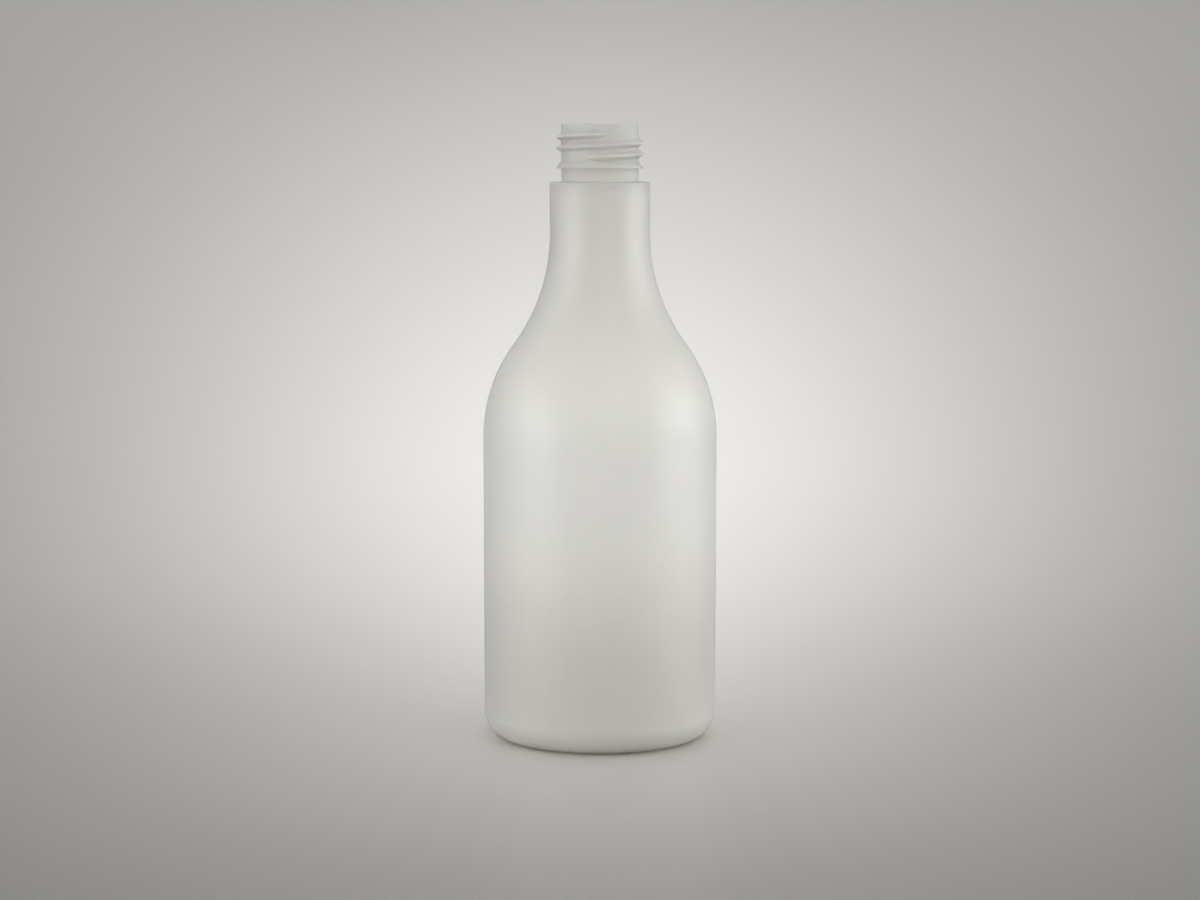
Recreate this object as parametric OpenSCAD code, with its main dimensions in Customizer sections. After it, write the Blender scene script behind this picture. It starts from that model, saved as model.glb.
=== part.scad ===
// Blow-moulded plastic bottle with a long neck and a screw finish, without its closure.
// The bottle stands on the XY plane, with its axis on Z and its front towards -Y.

/* [Body] */
// Diameter of the straight side
body_d = 73; // [60:1:100]
// Height of the straight side's top above the table
body_h = 95; // [60:1:160]
// Thickness of the blown wall
wall = 1; // [0.6:0.1:2]

/* [Base] */
// Radius of the heel, between the side and the base
heel_r = 8; // [3:0.5:12]
// Width of the flat ring that the bottle stands on
ring_w = 2.5; // [1:0.5:6]
// Height of the base's hollow at its middle
push_up = 3; // [2:0.5:6]
// Distance from the standing ring to the ends of the weld where the mould pinched the base shut
weld_inset = 7; // [4:0.5:12]
// Width of the weld
weld_w = 0.8; // [0.4:0.1:2]
// Height that the weld stands out of the hollow
weld_h = 0.5; // [0.2:0.1:0.7]

/* [Shoulder and neck] */
// Radius of the round shoulder above the side
shoulder_r = 48; // [30:1:80]
// Radius of the hollow sweep from the shoulder to the neck
sweep_r = 59; // [30:1:80]
// Diameter of the neck
neck_d = 31.2; // [30:0.2:38]
// Length of the neck's straight part
neck_l = 15.5; // [6:0.5:40]
// Radius of the edge where the neck meets the ledge
ledge_edge_r = 0.5; // [0.2:0.1:1]
// Thickness of the ledge beside the bore
ledge_t = 1.2; // [0.8:0.1:2]
// Height over which the bore widens to the inside of the neck
throat_h = 2.5; // [1.5:0.1:5]

/* [Finish] */
// Outside diameter of the finish wall, which carries the thread
finish_d = 24; // [18:0.1:26]
// Thickness of the finish wall
finish_wall = 1.8; // [1.2:0.1:3]
// Radius of the rim's two edges
rim_r = 0.35; // [0.1:0.05:0.5]
// Radius of the corner between the ledge and the finish wall
root_r = 0.5; // [0.2:0.1:1]

/* [Locking bead] */
// Distance that the bead stands out of the finish wall
bead_out = 1.4; // [0.6:0.1:1.8]
// Height of the bead's flat underside above the ledge
bead_lift = 4.2; // [2:0.1:5]
// Height of the bead where it leaves the finish wall
bead_h = 2.2; // [1.2:0.1:2.5]
// Height of the band round the bead's tip
bead_tip_h = 0.6; // [0.2:0.1:1]

/* [Thread] */
// Distance that the thread stands out of the finish wall
thread_out = 1.55; // [0.8:0.05:2]
// Rise of the thread in one turn
pitch = 3.4; // [3:0.1:4.4]
// Turns of the thread from end to end
turns = 2.1; // [1:0.05:3]
// Width of the thread at its root, just inside the wall
thread_w = 2.8; // [1.6:0.1:2.9]
// Width of the flat along the thread's crest
crest_w = 0.6; // [0.2:0.1:1]
// Height of the thread's lower end above the bead, to its middle
thread_lift = 1.25; // [1:0.05:4]
// Depth of the thread's upper end below the rim, to its middle
thread_drop = 3.2; // [2:0.1:5]
// Direction of the thread's lower end, counted from the right hand side
thread_start = -113; // [-180:1:180]
// Angle over which each end of the thread sinks into the wall
run_out = 22; // [10:1:60]

/* [Hidden] */
$fn = 96;

body_r = body_d / 2;
neck_r = neck_d / 2;
finish_r = finish_d / 2;
bore_r = finish_r - finish_wall;
bead_r = finish_r + bead_out;

// Turn of the outline from the upright side to the slope where shoulder and sweep meet
slope = acos(1 - (body_r - neck_r) / (shoulder_r + sweep_r));
neck_z = body_h + (shoulder_r + sweep_r) * sin(slope);
ledge_z = neck_z + neck_l;
throat_z = ledge_z - ledge_t;
bead_z = ledge_z + bead_lift;
thread_z = bead_z + bead_h + thread_lift;
rim_z = thread_z + pitch * turns + thread_drop;

// Radius of the base's dome, from its height and the inner edge of the standing ring
hollow_r = body_r - heel_r - ring_w;
dome_r = (hollow_r * hollow_r + push_up * push_up) / (2 * push_up);

// Straight pieces in each stretch of the outline
dome_steps = 6;
heel_steps = 8;
shoulder_steps = 12;
edge_steps = 3;

// Sections of the thread in one turn, and how deep it is rooted in the wall
thread_steps = 48;
thread_root = 0.3;

// Points along an arc, in the plane of the radius and the height
function arc(centre, r, from, to, steps, first = 0) =
    [for (i = [first:steps]) let (a = from + (to - from) * i / steps) centre + r * [cos(a), sin(a)]];

// The blown wall's surface from the middle of the base to the neck, at a depth below the outside
function blown_line(depth) = concat(
    arc([0, push_up - dome_r], dome_r + depth, 90, 90 - acos(1 - push_up / (dome_r + depth)), dome_steps),
    arc([body_r - heel_r, heel_r], heel_r - depth, -90, 0, heel_steps),
    arc([body_r - shoulder_r, body_h], shoulder_r - depth, 0, slope, shoulder_steps),
    arc([neck_r + sweep_r, neck_z], sweep_r + depth, 180 + slope, 180, shoulder_steps, 1)
);

// The outside from the neck over the ledge and the bead to the rim, and back to the bore
function finish_line() = concat(
    arc([neck_r - ledge_edge_r, ledge_z - ledge_edge_r], ledge_edge_r, 0, 90, edge_steps),
    arc([finish_r + root_r, ledge_z + root_r], root_r, 270, 180, edge_steps),
    [
        [finish_r, bead_z],
        [bead_r, bead_z],
        [bead_r, bead_z + bead_tip_h],
        [finish_r, bead_z + bead_h]
    ],
    arc([finish_r - rim_r, rim_z - rim_r], rim_r, 0, 90, edge_steps),
    arc([bore_r + rim_r, rim_z - rim_r], rim_r, 90, 180, edge_steps)
);

function backwards(points) = [for (i = [len(points) - 1:-1:0]) points[i]];

// The whole wall, turned about the axis
module shell() {
    rotate_extrude() polygon(concat(
        blown_line(0),
        finish_line(),
        [[bore_r, throat_z], [neck_r - wall, throat_z - throat_h]],
        backwards(blown_line(wall))
    ));
}

// The pinch-off weld, a low rib that is level in its middle and then follows the base's dome
module weld() {
    crest = arc([0, push_up - dome_r], dome_r - weld_h, 90, 90 - acos(1 - push_up / dome_r), dome_steps, 1);
    intersection() {
        rotate_extrude() polygon(concat(
            [[0, crest[0].y]],
            crest,
            [[hollow_r, push_up + wall / 2], [0, push_up + wall / 2]]
        ));
        translate([weld_inset - hollow_r, -weld_w / 2, 0])
            cube([2 * (hollow_r - weld_inset), weld_w, push_up + wall]);
    }
}

// The thread: one section after another up the helix, each rooted in the finish wall
module thread() {
    last = ceil(turns * thread_steps);
    turn = 360 * turns / last;
    points = [
        for (i = [0:last])
        let (
            a = thread_start + turn * i,
            z = thread_z + pitch * turns * i / last,
            share = min(1, i * turn / run_out, (last - i) * turn / run_out),
            crest_r = finish_r - thread_root / 2 + (thread_out + thread_root / 2) * share,
            section = [
                [finish_r - thread_root, -thread_w / 2],
                [crest_r, -crest_w / 2],
                [crest_r, crest_w / 2],
                [finish_r - thread_root, thread_w / 2]
            ]
        )
        for (p = section) [p.x * cos(a), p.x * sin(a), z + p.y]
    ];
    sides = [
        for (i = [0:last - 1])
        for (k = [0:3])
        let (a = 4 * i + k, b = 4 * i + (k + 1) % 4)
        each [[a, b, a + 4], [b, b + 4, a + 4]]
    ];
    ends = [[2, 1, 0], [3, 2, 0], [4 * last, 4 * last + 1, 4 * last + 2], [4 * last, 4 * last + 2, 4 * last + 3]];
    polyhedron(points, concat(sides, ends));
}

module bottle() {
    color([0.86, 0.86, 0.83]) union() {
        shell();
        weld();
        thread();
    }
}

bottle();
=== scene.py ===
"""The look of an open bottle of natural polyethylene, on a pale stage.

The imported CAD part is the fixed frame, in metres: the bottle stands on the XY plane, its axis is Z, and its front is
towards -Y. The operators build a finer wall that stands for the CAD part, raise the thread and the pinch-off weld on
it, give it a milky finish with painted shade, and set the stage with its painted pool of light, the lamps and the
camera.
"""

import math

import bmesh
import bpy
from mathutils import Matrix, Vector


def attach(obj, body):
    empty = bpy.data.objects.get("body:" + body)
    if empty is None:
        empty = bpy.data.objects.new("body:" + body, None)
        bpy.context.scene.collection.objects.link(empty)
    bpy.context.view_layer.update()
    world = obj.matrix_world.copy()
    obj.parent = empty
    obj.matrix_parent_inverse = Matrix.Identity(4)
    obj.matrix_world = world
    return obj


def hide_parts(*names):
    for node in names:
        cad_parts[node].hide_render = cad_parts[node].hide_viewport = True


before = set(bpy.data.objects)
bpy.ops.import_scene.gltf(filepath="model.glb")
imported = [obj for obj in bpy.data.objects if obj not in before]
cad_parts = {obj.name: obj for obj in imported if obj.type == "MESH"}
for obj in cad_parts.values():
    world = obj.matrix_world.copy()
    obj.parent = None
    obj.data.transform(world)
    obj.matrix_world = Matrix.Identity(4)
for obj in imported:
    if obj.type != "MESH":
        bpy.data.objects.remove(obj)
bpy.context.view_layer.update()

bl_info = {
    "name": "Natural polyethylene bottle",
    "version": (1, 0, 0),
    "blender": (4, 5, 0),
    "location": "3D View > Sidebar > Bottle",
    "description": "Builds a blow-moulded bottle, its milky finish and a pale stage for it",
    "category": "Add Mesh",
}

WALL = "bottle_wall"

# Points closer than this are one point, and points closer than this to the finish wall's radius are on it
MERGE = 1e-7
ON_WALL = 1e-6
# The largest angle between two faces that are shaded as one
SMOOTH_ANGLE = math.radians(32)
# The largest power of e that the thread's rounding works out
POWER_LIMIT = 60
# Points, edges and faces are sorted by this sum of their coordinates
ORDER = Vector((1, 1e3, 1e6))


def size(name, description, default):
    return bpy.props.FloatProperty(
        name=name, description=description, default=default, min=0, precision=5, unit="LENGTH"
    )


def share(name, description, default):
    return bpy.props.FloatProperty(
        name=name, description=description, default=default, min=0, max=1, subtype="FACTOR"
    )


def angle(name, description, degrees):
    return bpy.props.FloatProperty(
        name=name, description=description, default=math.radians(degrees), subtype="ANGLE"
    )


def power(name, description, default):
    return bpy.props.FloatProperty(name=name, description=description, default=default, min=0, unit="POWER")


def count(name, description, default):
    return bpy.props.IntProperty(name=name, description=description, default=default, min=1)


def colour(name, description, default):
    return bpy.props.FloatVectorProperty(
        name=name, description=description, default=default, size=3, min=0, max=1, subtype="COLOR"
    )


class BottleShape(bpy.types.PropertyGroup):
    """Sizes of the bottle, the same as the CAD part's."""

    body_d: size("Body diameter", "Diameter of the straight side", 0.073)
    body_h: size("Body height", "Height of the straight side's top above the table", 0.095)
    wall: size("Wall", "Thickness of the blown wall", 0.001)
    heel_r: size("Heel radius", "Radius between the side and the base", 0.008)
    ring_w: size("Standing ring", "Width of the flat ring that the bottle stands on", 0.0025)
    push_up: size("Push-up", "Height of the base's hollow at its middle", 0.003)
    weld_inset: size("Weld inset", "Distance from the standing ring to the ends of the weld", 0.007)
    weld_w: size("Weld width", "Width of the pinch-off weld", 0.0008)
    weld_h: size("Weld height", "Height that the weld stands out of the hollow", 0.0005)
    shoulder_r: size("Shoulder radius", "Radius of the round shoulder above the side", 0.048)
    sweep_r: size("Sweep radius", "Radius of the hollow sweep from the shoulder to the neck", 0.059)
    neck_d: size("Neck diameter", "Diameter of the neck", 0.0312)
    neck_l: size("Neck length", "Length of the neck's straight part", 0.0155)
    ledge_edge_r: size("Ledge edge", "Radius of the edge where the neck meets the ledge", 0.0005)
    ledge_t: size("Ledge thickness", "Thickness of the ledge beside the bore", 0.0012)
    throat_h: size("Throat height", "Height over which the bore widens to the neck", 0.0025)
    finish_d: size("Finish diameter", "Outside diameter of the wall that carries the thread", 0.024)
    finish_wall: size("Finish wall", "Thickness of the wall that carries the thread", 0.0018)
    rim_r: size("Rim radius", "Radius of the rim's two edges", 0.00035)
    root_r: size("Root radius", "Radius of the corner between the ledge and the finish wall", 0.0005)
    bead_out: size("Bead depth", "Distance that the locking bead stands out of the wall", 0.0014)
    bead_lift: size("Bead lift", "Height of the bead's flat underside above the ledge", 0.0042)
    bead_h: size("Bead height", "Height of the bead where it leaves the wall", 0.0022)
    bead_tip_h: size("Bead tip", "Height of the band round the bead's tip", 0.0006)
    thread_out: size("Thread depth", "Distance that the thread stands out of the wall", 0.00155)
    pitch: size("Pitch", "Rise of the thread in one turn", 0.0034)
    turns: bpy.props.FloatProperty(
        name="Turns", description="Turns of the thread from end to end", default=2.1, min=0.5, max=4
    )
    thread_w: size("Thread width", "Width of the thread where it leaves the wall", 0.00244)
    crest_w: size("Crest width", "Width of the flat along the thread's crest", 0.0006)
    thread_soft: size("Thread rounding", "How far the thread's edges and roots are rounded", 0.00018)
    thread_lift: size("Thread lift", "Height of the thread's lower end above the bead", 0.00125)
    thread_drop: size("Thread drop", "Depth of the thread's upper end below the rim", 0.0032)
    thread_start: angle("Thread start", "Direction of the thread's lower end", -113)
    run_out: angle("Run-out", "Angle over which each end of the thread sinks into the wall", 22)
    segments: count("Segments", "Faces round the bottle", 224)

    def lines(self):
        """The heights and radii that follow from the sizes."""
        body_r, neck_r, finish_r = self.body_d / 2, self.neck_d / 2, self.finish_d / 2
        slope = math.acos(1 - (body_r - neck_r) / (self.shoulder_r + self.sweep_r))
        neck_z = self.body_h + (self.shoulder_r + self.sweep_r) * math.sin(slope)
        ledge_z = neck_z + self.neck_l
        bead_z = ledge_z + self.bead_lift
        thread_z = bead_z + self.bead_h + self.thread_lift
        hollow_r = body_r - self.heel_r - self.ring_w
        return {
            "body_r": body_r,
            "neck_r": neck_r,
            "finish_r": finish_r,
            "bore_r": finish_r - self.finish_wall,
            "slope": slope,
            "neck_z": neck_z,
            "ledge_z": ledge_z,
            "bead_z": bead_z,
            "thread_z": thread_z,
            "rim_z": thread_z + self.pitch * self.turns + self.thread_drop,
            "hollow_r": hollow_r,
            "dome_r": (hollow_r**2 + self.push_up**2) / (2 * self.push_up),
        }


class BottleFinish(bpy.types.PropertyGroup):
    """Colour and finish of the natural polyethylene, and the colour of its painted shade."""

    milk: colour("Milk", "Colour of the plastic", (0.98, 0.968, 0.925))
    # The shaded milk is the colour of the painted shade that the height bands mix in, not the colour of a thicker wall
    shaded_milk: colour("Dense milk", "Colour where the wall is thickest", (0.70, 0.693, 0.668))
    clearness: share("Clearness", "Share of the light that goes through the wall", 0.6)
    frost: share("Frost", "Roughness of the wall", 0.5)
    haze: size("Haze", "Distance that light spreads inside the wall", 0.002)


class StageLook(bpy.types.PropertyGroup):
    """Stage, lamps and camera."""

    # Pale is the colour of the painted pool of light behind the bottle, dim that of the painted shade at the stage's
    # edges
    pale: colour("Pale", "Colour of the stage behind the bottle", (0.95, 0.9348, 0.908))
    dim: colour("Dim", "Colour of the stage at its edges", (0.15, 0.1476, 0.1434))
    key: power("Key lamp", "Power of the lamp on the left", 1.65)
    fill: power("Fill lamp", "Power of the lamp on the right", 2.3)
    front: power("Front lamp", "Power of the lamp by the camera", 1.95)
    pool: power("Pool lamp", "Power of the lamp over the stage behind the bottle", 1.6)
    sky: bpy.props.FloatProperty(name="Sky", description="Strength of the light from above", default=0.86, min=0)


class Outline:
    """Draws a line of edges in the plane of the radius and the height, by extruding and spinning its last vertex."""

    def __init__(self, mesh, r, z):
        self.mesh = mesh
        self.tip = mesh.verts.new((r, 0, z))

    def line(self, r, z, steps=1):
        step = (Vector((r, 0, z)) - self.tip.co) / steps
        for _ in range(steps):
            self.tip = bmesh.ops.extrude_vert_indiv(self.mesh, verts=[self.tip])["verts"][0]
            bmesh.ops.translate(self.mesh, verts=[self.tip], vec=step)

    def arc(self, r, z, turn, steps):
        """Turns round a centre, with a positive angle from the radius towards the height."""
        spun = bmesh.ops.spin(
            self.mesh, geom=[self.tip], cent=(r, 0, z), axis=(0, -1, 0), angle=turn, steps=steps, use_duplicate=False
        )
        self.tip = [v for v in spun["geom_last"] if isinstance(v, bmesh.types.BMVert)][0]


def revolve(mesh, segments):
    """Spins the drawn line about the Z axis into a closed surface."""
    bmesh.ops.spin(
        mesh,
        geom=mesh.verts[:] + mesh.edges[:],
        cent=(0, 0, 0),
        axis=(0, 0, 1),
        angle=math.tau,
        steps=segments,
        use_merge=True,
        use_duplicate=False,
    )
    bmesh.ops.remove_doubles(mesh, verts=mesh.verts, dist=MERGE)
    bmesh.ops.recalc_face_normals(mesh, faces=mesh.faces)


def draw_wall(mesh, s):
    """The outside from the middle of the base to the rim, and back down the inside."""
    at = s.lines()
    body_r, neck_r, finish_r, bore_r = at["body_r"], at["neck_r"], at["finish_r"], at["bore_r"]
    slope, dome_r, hollow_r = at["slope"], at["dome_r"], at["hollow_r"]
    ledge_z, bead_z, rim_z = at["ledge_z"], at["bead_z"], at["rim_z"]
    heel_x, shoulder_x, sweep_x = body_r - s.heel_r, body_r - s.shoulder_r, neck_r + s.sweep_r
    right = math.pi / 2

    pen = Outline(mesh, 0, s.push_up)
    pen.arc(0, s.push_up - dome_r, -math.asin(hollow_r / dome_r), steps=16)
    pen.line(heel_x, 0, steps=2)
    pen.arc(heel_x, s.heel_r, right, steps=20)
    pen.line(body_r, s.body_h, steps=40)
    pen.arc(shoulder_x, s.body_h, slope, steps=24)
    pen.arc(sweep_x, at["neck_z"], -slope, steps=28)
    pen.line(neck_r, ledge_z - s.ledge_edge_r, steps=8)
    pen.arc(neck_r - s.ledge_edge_r, ledge_z - s.ledge_edge_r, right, steps=6)
    pen.line(finish_r + s.root_r, ledge_z, steps=3)
    pen.arc(finish_r + s.root_r, ledge_z + s.root_r, -right, steps=6)
    pen.line(finish_r, bead_z, steps=4)
    pen.line(finish_r + s.bead_out, bead_z, steps=3)
    pen.line(finish_r + s.bead_out, bead_z + s.bead_tip_h, steps=1)
    pen.line(finish_r, bead_z + s.bead_h, steps=4)
    pen.line(finish_r, rim_z - s.rim_r, steps=84)
    pen.arc(finish_r - s.rim_r, rim_z - s.rim_r, right, steps=5)
    pen.line(bore_r + s.rim_r, rim_z, steps=1)
    pen.arc(bore_r + s.rim_r, rim_z - s.rim_r, right, steps=5)
    pen.line(bore_r, ledge_z - s.ledge_t, steps=8)
    pen.line(neck_r - s.wall, ledge_z - s.ledge_t - s.throat_h, steps=2)
    pen.line(neck_r - s.wall, at["neck_z"], steps=4)
    pen.arc(sweep_x, at["neck_z"], slope, steps=22)
    pen.arc(shoulder_x, s.body_h, -slope, steps=18)
    pen.line(body_r - s.wall, s.heel_r, steps=20)
    pen.arc(heel_x, s.heel_r, -right, steps=12)
    pen.line(math.sin(math.acos(1 - s.push_up / (dome_r + s.wall))) * (dome_r + s.wall), s.wall, steps=1)
    pen.line(0, s.push_up + s.wall, steps=8)


def soft_step(x):
    x = min(1, max(0, x))
    return x * x * (3 - 2 * x)


def soft_limit(x, low, high, round_by):
    """Keeps x between two limits, and rounds the corners where it meets them."""
    over = round_by * math.log1p(math.exp(min(POWER_LIMIT, (x - low) / round_by)))
    return high - round_by * math.log1p(math.exp(min(POWER_LIMIT, (high - low - over) / round_by)))


def thread_height(s, at, turned, z):
    """How far the thread stands out of the wall, at an angle from its lower end and a height."""
    out = 0
    flank = s.thread_out / ((s.thread_w - s.crest_w) / 2)
    end = s.turns * math.tau
    for lap in range(math.ceil(s.turns) + 1):
        a = turned % math.tau + lap * math.tau
        if a > end:
            break
        sunk = s.thread_out * (1 - soft_step(min(a, end - a) / s.run_out))
        off = abs(z - at["thread_z"] - s.pitch * a / math.tau)
        rise = flank * (s.thread_w / 2 - off)
        out = max(out, soft_limit(rise, 0, s.thread_out, s.thread_soft / 2) - sunk)
    return out


def put_in_order(mesh):
    """Sorts all by place, because spinning and cutting leave the faces in another order each run."""
    mesh.verts.sort(key=lambda v: v.co.dot(ORDER))
    mesh.edges.sort(key=lambda e: (e.verts[0].co + e.verts[1].co).dot(ORDER))
    mesh.faces.sort(key=lambda f: f.calc_center_median().dot(ORDER))


def shade(data):
    """Shades a mesh smooth, but for its sharp edges."""
    data.shade_smooth()
    data.set_sharp_from_angle(angle=SMOOTH_ANGLE)


def new_object(name, mesh):
    """A linked object from a finished bmesh."""
    put_in_order(mesh)
    data = bpy.data.meshes.new(name)
    mesh.to_mesh(data)
    mesh.free()
    shade(data)
    thing = bpy.data.objects.new(name, data)
    bpy.context.scene.collection.objects.link(thing)
    return thing


def reshape(thing, change):
    """Opens an object's mesh as a bmesh, changes it and puts it back."""
    mesh = bmesh.new()
    mesh.from_mesh(thing.data)
    change(mesh)
    put_in_order(mesh)
    mesh.to_mesh(thing.data)
    mesh.free()
    shade(thing.data)


class BOTTLE_OT_wall(bpy.types.Operator):
    """Blow the wall: base, side, shoulder, neck, ledge, bead and rim, outside and inside"""

    bl_idname = "bottle.wall"
    bl_label = "Blow the Wall"
    bl_options = {"REGISTER", "UNDO"}

    def execute(self, context):
        s = context.scene.bottle_shape
        mesh = bmesh.new()
        draw_wall(mesh, s)
        revolve(mesh, s.segments)
        wall = new_object(WALL, mesh)
        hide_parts("bottle")
        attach(wall, "root")
        return {"FINISHED"}


class BOTTLE_OT_thread(bpy.types.Operator):
    """Raise the thread on the finish wall"""

    bl_idname = "bottle.thread"
    bl_label = "Raise the Thread"
    bl_options = {"REGISTER", "UNDO"}

    def execute(self, context):
        s = context.scene.bottle_shape
        at = s.lines()

        def raise_thread(mesh):
            low, high = at["bead_z"] + s.bead_tip_h, at["rim_z"] - s.rim_r
            for v in mesh.verts:
                r = math.hypot(v.co.x, v.co.y)
                if low < v.co.z < high and abs(r - at["finish_r"]) < ON_WALL:
                    turned = math.atan2(v.co.y, v.co.x) - s.thread_start
                    out = thread_height(s, at, turned, v.co.z)
                    v.co.xy *= (r + out) / r

        reshape(bpy.data.objects[WALL], raise_thread)
        return {"FINISHED"}


class BOTTLE_OT_weld(bpy.types.Operator):
    """Raise the pinch-off weld in the hollow of the base"""

    bl_idname = "bottle.weld"
    bl_label = "Raise the Weld"
    bl_options = {"REGISTER", "UNDO"}

    def execute(self, context):
        s = context.scene.bottle_shape
        at = s.lines()
        half = s.weld_w / 2
        reach = at["hollow_r"] - s.weld_inset
        # Width of the weld's slopes, and the rim of the hollow that is left alone
        flank, margin = 0.0002, 0.0001

        def under(v):
            return v.co.z < s.push_up + s.wall / 2 and math.hypot(v.co.x, v.co.y) < at["hollow_r"] - margin

        def raise_weld(mesh):
            cuts = [((0, side * y, 0), (0, 1, 0)) for side in (-1, 1) for y in (half - flank, half)]
            cuts += [((side * x, 0, 0), (1, 0, 0)) for side in (-1, 1) for x in (reach - flank, reach)]
            dome = [f for f in mesh.faces if f.normal.z < 0 and all(under(v) for v in f.verts)]
            for place, across in cuts:
                edges = dict.fromkeys(e for f in dome for e in f.edges)
                verts = dict.fromkeys(v for f in dome for v in f.verts)
                cut = bmesh.ops.bisect_plane(
                    mesh, geom=[*verts, *edges, *dome], plane_co=place, plane_no=across, dist=MERGE
                )["geom"]
                dome = [f for f in cut if isinstance(f, bmesh.types.BMFace)]
            for v in dict.fromkeys(v for f in dome for v in f.verts):
                inside = min(half - abs(v.co.y), reach - abs(v.co.x))
                v.co.z -= s.weld_h * min(1, max(0, inside / flank))

        reshape(bpy.data.objects[WALL], raise_weld)
        return {"FINISHED"}


class Term:
    """A node's output as a term of an expression: arithmetic on it adds the Math nodes."""

    def __init__(self, paint, socket):
        self.paint = paint
        self.socket = socket

    def maths(self, operation, *values):
        return self.paint.node("ShaderNodeMath", {"operation": operation}, dict(enumerate(values)))

    def __add__(self, other):
        return self.maths("ADD", self, other)

    def __radd__(self, other):
        return self.maths("ADD", other, self)

    def __sub__(self, other):
        return self.maths("SUBTRACT", self, other)

    def __rsub__(self, other):
        return self.maths("SUBTRACT", other, self)

    def __mul__(self, other):
        return self.maths("MULTIPLY", self, other)

    def __rmul__(self, other):
        return self.maths("MULTIPLY", other, self)

    def __truediv__(self, other):
        return self.maths("DIVIDE", self, other)

    def __rtruediv__(self, other):
        return self.maths("DIVIDE", other, self)

    def __pow__(self, other):
        return self.maths("POWER", self, other)

    def __rpow__(self, other):
        return self.maths("POWER", other, self)

    def __lt__(self, other):
        return self.maths("LESS_THAN", self, other)

    def __abs__(self):
        return self.maths("ABSOLUTE", self)

    def between(self, low, high):
        """0 below the lower value and 1 above the higher one, with a smooth rise."""
        return self.paint.node(
            "ShaderNodeMapRange",
            {"interpolation_type": "SMOOTHSTEP"},
            {"Value": self, "From Min": low, "From Max": high},
        )


class Paint:
    """A new material, and the nodes that are put in it."""

    def __init__(self, name):
        self.material = bpy.data.materials.new(name)
        self.material.use_nodes = True
        self.tree = self.material.node_tree
        self.tree.nodes.clear()

    def node(self, kind, settings=None, values=None, out=0):
        """Adds a node: its settings first, then the values or links of its sockets. Gives the output asked for."""
        node = self.tree.nodes.new(kind)
        for name, value in (settings or {}).items():
            setattr(node, name, value)
        for name, value in (values or {}).items():
            socket = node.inputs[name]
            if isinstance(value, Term):
                self.tree.links.new(value.socket, socket)
            else:
                socket.default_value = value
        return Term(self, node.outputs[out]) if node.outputs else node

    def noise(self, where, scale, detail, roughness):
        return self.node(
            "ShaderNodeTexNoise", {}, {"Vector": where, "Scale": scale, "Detail": detail, "Roughness": roughness}
        )

    def stretched(self, where, scale):
        return self.node("ShaderNodeMapping", {}, {"Vector": where, "Scale": scale})

    def mix(self, factor, first, second):
        """A colour between two others."""
        return self.node("ShaderNodeMix", {"data_type": "RGBA"}, {"Factor": factor, "A": first, "B": second}, "Result")

    def finish(self, shader):
        self.node("ShaderNodeOutputMaterial", {}, {"Surface": shader})
        return self.material


# How far the colour goes towards the shaded milk, the colour of the painted shade, where no band adds to it: at 0 it
# is milk, at 1 the shaded milk
BASE_SHADE = 0.08
# How much the mottling changes the plastic's colour and the roughness, and how much rougher the ledge and the finish
# are
CLOUD_DENSITY, DRAW_LINE_DENSITY = 0.14, 0.09
CLOUD_ROUGHNESS, GRAIN_ROUGHNESS, FINISH_ROUGHNESS = 0.08, 0.10, 0.12
# Heights of the relief, in metres
GRAIN_RELIEF, DRAW_LINE_RELIEF, WAVE_RELIEF, PARTING_RELIEF = 0.000012, 0.00001, 0.00012, 0.00004
# Heights over which the painted shade rises below the ledge and below the rim, and over which the finish gets rougher
# below the ledge, in metres
LEDGE_FADE, RIM_FADE = 0.004, 0.009
# Distance from the parting plane at which the parting line starts to fade, and at which it has gone
PARTING_LINE = 0.00006, 0.00022


def painted_shade_bands(at):
    """Heights between which painted shade is added to the plastic's colour, and by how much: painted light at the foot
    and the heel, painted shade on the lower side, least in the middle of the side, and painted shade at the shoulder
    and neck, below the ledge and below the rim.
    """
    return (
        (0, 0.005, 0.6),
        (0.002, 0.016, 0.12),
        (0.020, 0.080, -0.75),
        (0.085, 0.155, 0.6),
        (at["ledge_z"] - LEDGE_FADE, at["ledge_z"], 0.26),
        (at["rim_z"] - RIM_FADE, at["rim_z"], 0.75),
    )


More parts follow.
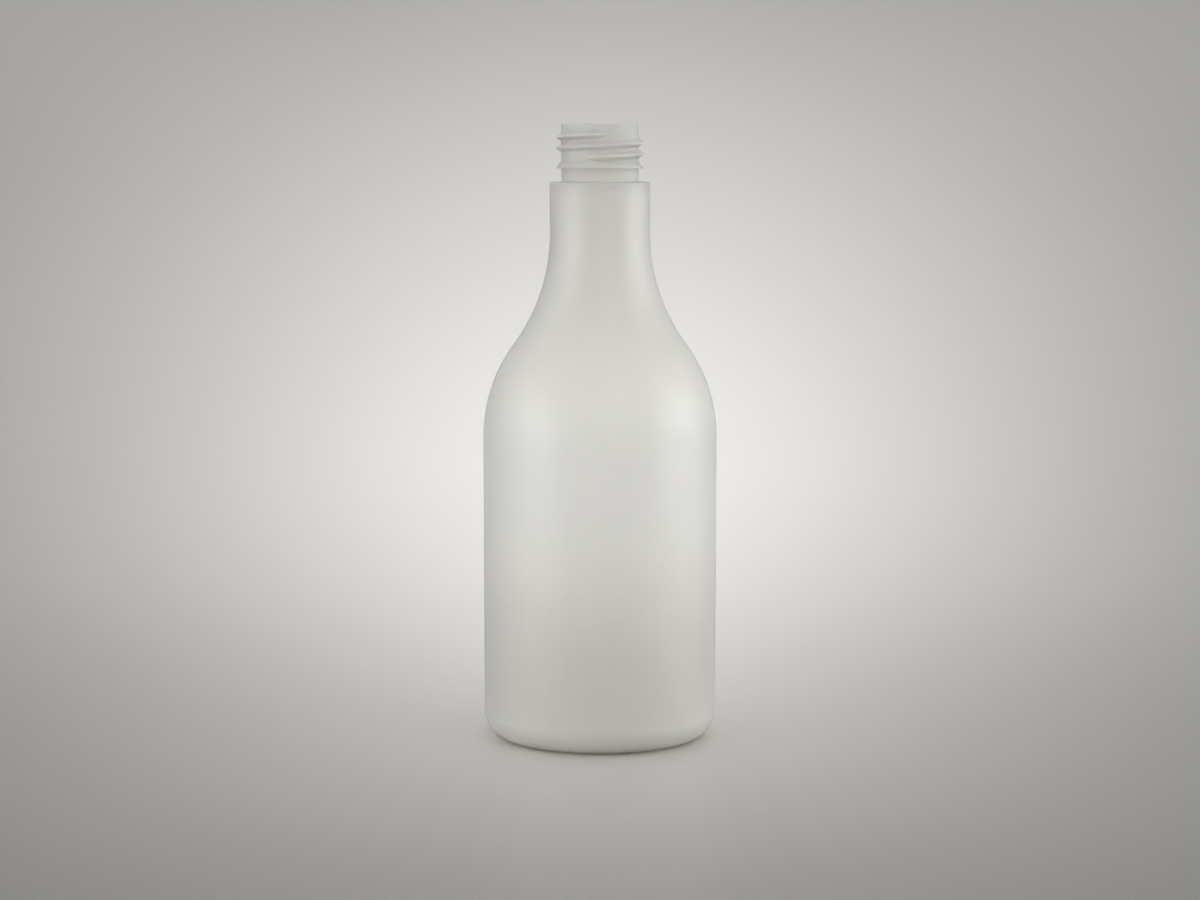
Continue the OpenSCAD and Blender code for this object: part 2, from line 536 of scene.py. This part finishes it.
def milky_plastic(s, look):
    """Frosted natural polyethylene: cloudy, with the draw lines of the blown tube and the mould's parting line, and
    painted shade in bands by height.
    """
    at = s.lines()
    paint = Paint("milky_polyethylene_with_painted_shade")
    place = paint.node("ShaderNodeTexCoord", {}, {}, "Object")
    across, up = (paint.node("ShaderNodeSeparateXYZ", {}, {"Vector": place}, n) for n in "YZ")

    clouds = paint.noise(place, scale=55, detail=3, roughness=0.55)
    draw_lines = paint.noise(paint.stretched(place, (900, 900, 14)), scale=1, detail=2, roughness=0.6)
    grain = paint.noise(place, scale=2600, detail=2, roughness=0.6)
    waves = paint.noise(paint.stretched(place, (70, 70, 22)), scale=1, detail=1, roughness=0.4)
    parting = 1 - abs(across).between(*PARTING_LINE)
    finish = up.between(at["ledge_z"] - LEDGE_FADE, at["ledge_z"])

    mottle_and_painted_shade = BASE_SHADE + (clouds - 0.5) * CLOUD_DENSITY + (draw_lines - 0.5) * DRAW_LINE_DENSITY
    # Bands of painted light at the foot and heel and of painted shade above them, by height, added to the mottle
    for low, high, shade_amount in painted_shade_bands(at):
        mottle_and_painted_shade += up.between(low, high) * shade_amount
    body_colour = paint.mix(mottle_and_painted_shade, (*look.milk, 1), (*look.shaded_milk, 1))
    roughness = look.frost + (grain - 0.5) * GRAIN_ROUGHNESS + (clouds - 0.5) * CLOUD_ROUGHNESS
    roughness += finish * FINISH_ROUGHNESS
    height = grain * GRAIN_RELIEF + draw_lines * DRAW_LINE_RELIEF + waves * WAVE_RELIEF + parting * PARTING_RELIEF
    bump = paint.node("ShaderNodeBump", {}, {"Height": height, "Strength": 0.6, "Distance": 1.0})
    shader = paint.node(
        "ShaderNodeBsdfPrincipled",
        {},
        {
            "Base Color": body_colour,
            "Roughness": roughness,
            "IOR": 1.5,
            "Transmission Weight": look.clearness,
            "Subsurface Weight": 1.0,
            "Subsurface Radius": (1.0, 1.0, 1.0),
            "Subsurface Scale": look.haze,
            "Normal": bump,
        },
    )
    return paint.finish(shader)


class BOTTLE_OT_finish(bpy.types.Operator):
    """Give the wall its milky plastic, with painted shade in bands by height"""

    bl_idname = "bottle.finish"
    bl_label = "Finish the Plastic"
    bl_options = {"REGISTER", "UNDO"}

    def execute(self, context):
        wall = bpy.data.objects[WALL]
        wall.data.materials.clear()
        wall.data.materials.append(milky_plastic(context.scene.bottle_shape, context.scene.bottle_finish))
        return {"FINISHED"}


# Radius of the stage's flat floor, and of the bend that it rises in
FLOOR_R, BEND_R = 0.6, 0.9
# The stage is as grey as this where it has the dim colour, and as this where it has the pale one
DIM_VALUE, PALE_VALUE = 0.15, 0.95
# The painted pool of light behind the bottle: its foot, its height over that, how steep it is, and the distances over
# which it fades to the sides, to the back, to the front and up
POOL_LOW, POOL_HIGH, POOL_STEEP = 0.487, 1.854, 1.155
POOL_SIDE, POOL_BACK, POOL_FRONT, POOL_UP = 0.191, 0.647, 0.285, 0.406
# Painted shade towards the front of the stage: how pale its front is, against its back, and where the change starts
# and ends
FRONT_SHARE, DEPTH = 0.155, (-0.36, 1.872)
# Painted light along the floor, strongest at the bottle's foot where its shadow falls, and the distances over which it
# fades
FOOT_PAINTED_LIGHT = 0.78
FLOOR_SIDE, FLOOR_BACK, FLOOR_FRONT, FLOOR_UP = 2, 0.402, 0.600, 0.049
# Painted light under the bottle, over its contact shadow: how much paler the stage is there, and the radii between
# which that fades
UNDER_PAINTED_LIGHT, UNDER = 1.5, (0.027, 0.036)
# Painted light in the stage's upper corners: how much paler they are, and the distance to the side and the height over
# which that rises
CORNER_PAINTED_LIGHT, CORNER_SIDE, CORNER_UP = 0.26, (0.12, 0.6), (0.13, 0.30)


def stage_paint(look):
    """Pale paper with a painted pool of light, brightest behind the bottle, painted shade towards its front and edges,
    and painted light round and under the bottle's foot, over its shadow. From below the camera sees through it.
    """
    paint = Paint("stage_paper_with_painted_light")
    place = paint.node("ShaderNodeTexCoord", {}, {}, "Object")
    aside, ahead, up = (paint.node("ShaderNodeSeparateXYZ", {}, {"Vector": place}, n) for n in "XYZ")
    front = ahead < 0

    def away(x, y, z):
        """Distance from the middle of the bottle's foot, with its own unit for each axis."""
        scale = paint.node("ShaderNodeCombineXYZ", {}, {"X": 1 / x, "Y": 1 / y, "Z": 1 / z})
        scaled = paint.node("ShaderNodeVectorMath", {"operation": "MULTIPLY"}, {0: place, 1: scale})
        return paint.node("ShaderNodeVectorMath", {"operation": "LENGTH"}, {0: scaled}, "Value")

    # A painted pool of light behind the bottle, and painted shade towards the stage's front
    pool_y = POOL_BACK + (POOL_FRONT - POOL_BACK) * front
    pool = POOL_LOW + POOL_HIGH * math.e ** (0 - away(POOL_SIDE, pool_y, POOL_UP) ** POOL_STEEP)
    depth = FRONT_SHARE + (1 - FRONT_SHARE) * ahead.between(*DEPTH)
    # Painted light along the floor and under the bottle, over its shadow, and in the stage's upper corners
    floor_y = FLOOR_BACK + (FLOOR_FRONT - FLOOR_BACK) * front
    floor = FOOT_PAINTED_LIGHT * math.e ** (0 - away(FLOOR_SIDE, floor_y, FLOOR_UP) ** 2)
    under = UNDER_PAINTED_LIGHT * (1 - away(1, 1, 1).between(*UNDER))
    corners = CORNER_PAINTED_LIGHT * abs(aside).between(*CORNER_SIDE) * up.between(*CORNER_UP)
    value = pool * depth * (1 + floor + under + corners)
    tone = paint.mix((value - DIM_VALUE) / (PALE_VALUE - DIM_VALUE), (*look.dim, 1), (*look.pale, 1))
    fibre = paint.noise(place, scale=900, detail=2, roughness=0.6)
    bump = paint.node("ShaderNodeBump", {}, {"Height": fibre * 0.00002, "Strength": 0.5, "Distance": 1.0})
    paper = paint.node(
        "ShaderNodeBsdfPrincipled", {}, {"Base Color": tone, "Roughness": 0.4 + (fibre - 0.5) * 0.1, "Normal": bump}
    )
    seen = paint.node("ShaderNodeLightPath", {}, {}, "Is Camera Ray")
    back = paint.node("ShaderNodeNewGeometry", {}, {}, "Backfacing")
    clear = paint.node("ShaderNodeBsdfTransparent")
    return paint.finish(paint.node("ShaderNodeMixShader", {}, {0: seen * back, 1: paper, 2: clear}))


# Width and height, place and target of each lamp, in metres, and the spread of their light, in degrees
KEY = (0.6, 0.4), (-0.75, -0.40, 0.22), (0, 0, 0.12)
FILL = (0.9, 0.4), (0.85, -0.10, 0.22), (0, 0, 0.12)
FRONT = (0.8, 0.5), (0.20, -1.15, 0.35), (0, 0, 0.10)
POOL = (0.3, 0.3), (0, 0.50, 1.10), (0, 0.75, 0)
BOTTLE_SPREAD, POOL_SPREAD = 90, 70
SKY_COLOUR = (1, 0.995, 0.975, 1)
# The camera, found from the photo: sensor width and focal length in millimetres, place, and degrees below level
SENSOR, LENS = 36, 83.913
CAMERA_PLACE, CAMERA_TILT = (0, -0.8707, 0.19187), 6.648


def lamp(name, energy, extent, place, target, spread, lit=None):
    """A soft lamp that the camera doesn't see. It lights all, or only what is in a collection."""
    data = bpy.data.lights.new(name, "AREA")
    data.shape = "RECTANGLE"
    data.size, data.size_y = extent
    data.energy = energy
    data.spread = math.radians(spread)
    thing = bpy.data.objects.new(name, data)
    thing.location = place
    thing.rotation_euler = (Vector(target) - Vector(place)).to_track_quat("-Z", "Y").to_euler()
    thing.visible_camera = False
    if lit:
        thing.light_linking.receiver_collection = lit
    bpy.context.scene.collection.objects.link(thing)


class BOTTLE_OT_stage(bpy.types.Operator):
    """Set the stage with its painted pool of light and painted shade, the lamps, the sky and the camera"""

    bl_idname = "bottle.stage"
    bl_label = "Set the Stage"
    bl_options = {"REGISTER", "UNDO"}

    def execute(self, context):
        look = context.scene.bottle_stage
        mesh = bmesh.new()
        pen = Outline(mesh, 0, 0)
        pen.line(FLOOR_R, 0, steps=6)
        pen.arc(FLOOR_R, BEND_R, math.pi / 2, steps=40)
        revolve(mesh, 160)
        middle = min(mesh.faces, key=lambda f: f.calc_center_median().length)
        if middle.normal.z < 0:
            bmesh.ops.reverse_faces(mesh, faces=mesh.faces)
        stage = new_object("stage", mesh)
        stage.data.materials.append(stage_paint(look))

        lit = bpy.data.collections.new("lit_by_side_lamps")
        lit.objects.link(bpy.data.objects[WALL])
        lamp("key_lamp", look.key, *KEY, BOTTLE_SPREAD, lit)
        lamp("fill_lamp", look.fill, *FILL, BOTTLE_SPREAD, lit)
        lamp("front_lamp", look.front, *FRONT, BOTTLE_SPREAD, lit)
        lamp("pool_lamp", look.pool, *POOL, POOL_SPREAD)

        world = bpy.data.worlds.new("sky")
        world.use_nodes = True
        sky = world.node_tree.nodes["Background"].inputs
        sky["Color"].default_value = SKY_COLOUR
        sky["Strength"].default_value = look.sky
        context.scene.world = world

        data = bpy.data.cameras.new("camera")
        data.sensor_width = SENSOR
        data.lens = LENS
        data.clip_start, data.clip_end = 0.01, 20
        camera = bpy.data.objects.new("camera", data)
        camera.location = CAMERA_PLACE
        camera.rotation_euler = (math.radians(90 - CAMERA_TILT), 0, 0)
        context.scene.collection.objects.link(camera)
        context.scene.camera = camera
        context.scene.view_settings.view_transform = "Standard"
        return {"FINISHED"}


class BOTTLE_PT_panel(bpy.types.Panel):
    """Sizes, finish and stage of the bottle, with the operators that build them"""

    bl_label = "Bottle"
    bl_idname = "BOTTLE_PT_panel"
    bl_space_type = "VIEW_3D"
    bl_region_type = "UI"
    bl_category = "Bottle"

    def draw(self, context):
        scene = context.scene
        for title, group, steps in (
            ("Shape", scene.bottle_shape, SHAPE_STEPS),
            ("Finish", scene.bottle_finish, FINISH_STEPS),
            ("Stage", scene.bottle_stage, STAGE_STEPS),
        ):
            box = self.layout.box()
            box.label(text=title)
            for name in group.bl_rna.properties.keys():
                if name not in ("rna_type", "name"):
                    box.prop(group, name)
            for step in steps:
                box.operator(step.bl_idname)


SHAPE_STEPS = (BOTTLE_OT_wall, BOTTLE_OT_thread, BOTTLE_OT_weld)
FINISH_STEPS = (BOTTLE_OT_finish,)
STAGE_STEPS = (BOTTLE_OT_stage,)
GROUPS = {"bottle_shape": BottleShape, "bottle_finish": BottleFinish, "bottle_stage": StageLook}
CLASSES = (*GROUPS.values(), *SHAPE_STEPS, *FINISH_STEPS, *STAGE_STEPS, BOTTLE_PT_panel)


def register():
    for cls in CLASSES:
        bpy.utils.register_class(cls)
    for name, group in GROUPS.items():
        setattr(bpy.types.Scene, name, bpy.props.PointerProperty(type=group))


def unregister():
    for name in GROUPS:
        delattr(bpy.types.Scene, name)
    for cls in reversed(CLASSES):
        bpy.utils.unregister_class(cls)


def main():
    register()
    bpy.ops.bottle.wall()
    bpy.ops.bottle.thread()
    bpy.ops.bottle.weld()
    bpy.ops.bottle.finish()
    bpy.ops.bottle.stage()


if __name__ == "__main__":
    main()
